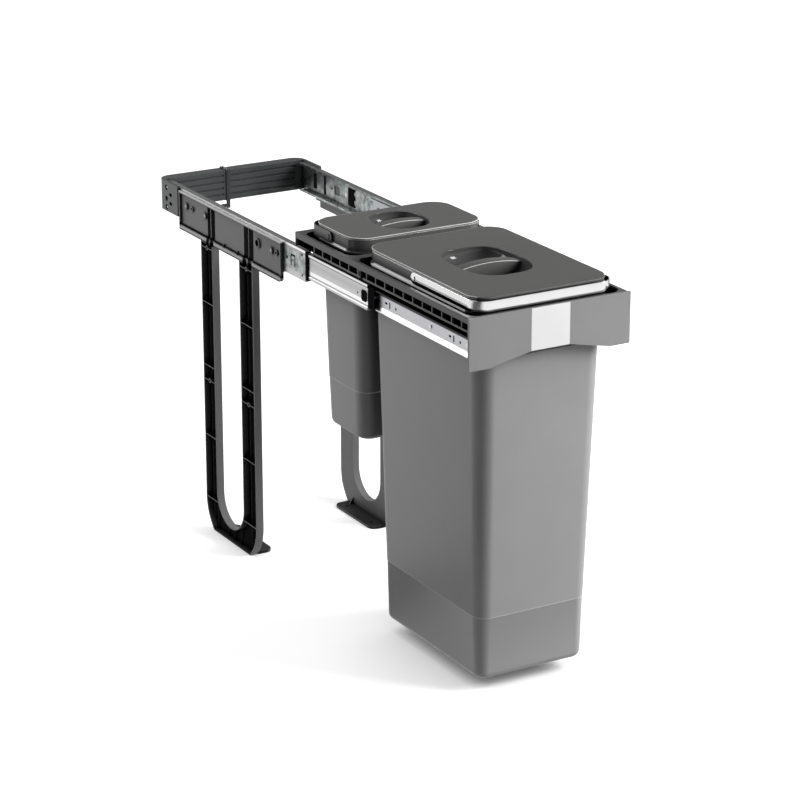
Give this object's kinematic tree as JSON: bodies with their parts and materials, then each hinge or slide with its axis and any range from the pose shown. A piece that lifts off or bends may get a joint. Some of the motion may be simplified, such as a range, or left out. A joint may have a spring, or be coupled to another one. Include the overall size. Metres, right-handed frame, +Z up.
{
  "type": "pull out bin frame",
  "caption": "Pull-out frame on full-extension slides with lidded waste bins, for a base cabinet, shown pulled out.",
  "frame": {"origin": "on the cabinet floor, midway across the width and midway between the fascia and the rear bracket, with the frame pulled right out", "axes": "+Z up, the fascia faces -Y and the carriage closes along +Y, +X to the right seen from the back"},
  "size_m": [0.2508, 0.932, 0.57],
  "materials": {
    "bracket_plastic": "moulded, fine texture",
    "rear_plastic": "moulded, satin",
    "clip_plastic": "moulded",
    "black_plastic": "moulded",
    "ring_plastic": "moulded, satin",
    "fascia_plastic": "fine matt texture",
    "plate_plastic": "plain white",
    "bin_plastic": "satin",
    "lid_plastic": "satin gloss",
    "zinc_steel": "galvanised",
    "bright_zinc": "bright zinc plate",
    "screw_steel": "zinc plate",
    "ball_steel": "polished",
    "handle_steel": "polished stainless steel"
  },
  "bodies": {
    "cabinet_frame": {"side_bracket_left": "bracket_plastic", "side_bracket_right": "bracket_plastic", "fixed_rail_left": "zinc_steel", "fixed_rail_right": "zinc_steel", "rear_bracket_left": "rear_plastic", "rear_bracket_right": "rear_plastic", "width_clip": "clip_plastic", "width_clamp_screw": "screw_steel", "bracket_screws": "screw_steel", "cage_stops": "black_plastic", "rear_stops": "black_plastic"},
    "middle_left": {"middle_rail_left": "bright_zinc", "middle_bumper_left": "black_plastic"},
    "middle_right": {"middle_rail_right": "bright_zinc", "middle_bumper_right": "black_plastic"},
    "cage_outer_left": {"outer_cage_left": "black_plastic", "outer_balls_left": "ball_steel"},
    "cage_outer_right": {"outer_cage_right": "black_plastic", "outer_balls_right": "ball_steel"},
    "cage_inner_left": {"inner_cage_left": "black_plastic", "inner_balls_left": "ball_steel"},
    "cage_inner_right": {"inner_cage_right": "black_plastic", "inner_balls_right": "ball_steel"},
    "carriage": {"drawer_rail_left": "bright_zinc", "drawer_rail_right": "bright_zinc", "rail_screws": "screw_steel", "ring_frame": "ring_plastic", "fascia": "fascia_plastic", "fascia_plate": "plate_plastic", "fascia_screws": "screw_steel"},
    "large_bin": {"large_bin": "bin_plastic", "large_handle_pins": "handle_steel"},
    "large_lid": {"large_lid": "lid_plastic"},
    "large_handle": {"large_handle": "handle_steel"},
    "small_bin": {"small_bin": "bin_plastic", "small_handle_pins": "lid_plastic"},
    "small_lid": {"small_lid": "lid_plastic"},
    "small_handle": {"small_handle": "lid_plastic"}
  },
  "joints": [
    {"name": "carriage_slide", "type": "slide", "parent": "cabinet_frame", "child": "carriage", "axis": [0, 1, 0], "range_m": [0, 0.45]},
    {"name": "middle_left_slide", "type": "slide", "parent": "cabinet_frame", "child": "middle_left", "axis": [0, 1, 0], "range_m": [0, 0.225]},
    {"name": "cage_outer_left_slide", "type": "slide", "parent": "cabinet_frame", "child": "cage_outer_left", "axis": [0, 1, 0], "range_m": [0, 0.1125]},
    {"name": "cage_inner_left_slide", "type": "slide", "parent": "cabinet_frame", "child": "cage_inner_left", "axis": [0, 1, 0], "range_m": [0, 0.3375]},
    {"name": "middle_right_slide", "type": "slide", "parent": "cabinet_frame", "child": "middle_right", "axis": [0, 1, 0], "range_m": [0, 0.225]},
    {"name": "cage_outer_right_slide", "type": "slide", "parent": "cabinet_frame", "child": "cage_outer_right", "axis": [0, 1, 0], "range_m": [0, 0.1125]},
    {"name": "cage_inner_right_slide", "type": "slide", "parent": "cabinet_frame", "child": "cage_inner_right", "axis": [0, 1, 0], "range_m": [0, 0.3375]},
    {"name": "large_bin_lift", "type": "slide", "parent": "carriage", "child": "large_bin", "axis": [0, 0, 1], "range_m": [0, 0.56]},
    {"name": "small_bin_lift", "type": "slide", "parent": "carriage", "child": "small_bin", "axis": [0, 0, 1], "range_m": [0, 0.31]},
    {"name": "large_lid_lift", "type": "slide", "parent": "large_bin", "child": "large_lid", "axis": [0, 0, 1], "range_m": [0, 0.12]},
    {"name": "small_lid_lift", "type": "slide", "parent": "small_bin", "child": "small_lid", "axis": [0, 0, 1], "range_m": [0, 0.12]},
    {"name": "large_handle_hinge", "type": "hinge", "parent": "large_bin", "child": "large_handle", "pos_m": [0, -0.29545, 0.5585], "axis": [-1, 0, 0], "range_deg": [0, 90]},
    {"name": "small_handle_hinge", "type": "hinge", "parent": "small_bin", "child": "small_handle", "pos_m": [0, -0.05995, 0.5585], "axis": [1, 0, 0], "range_deg": [0, 90]}
  ],
  "couplings": [
    {"joint": "middle_left_slide", "follows": "carriage_slide", "ratio": 0.5},
    {"joint": "cage_outer_left_slide", "follows": "carriage_slide", "ratio": 0.25},
    {"joint": "cage_inner_left_slide", "follows": "carriage_slide", "ratio": 0.75},
    {"joint": "middle_right_slide", "follows": "carriage_slide", "ratio": 0.5},
    {"joint": "cage_outer_right_slide", "follows": "carriage_slide", "ratio": 0.25},
    {"joint": "cage_inner_right_slide", "follows": "carriage_slide", "ratio": 0.75}
  ]
}
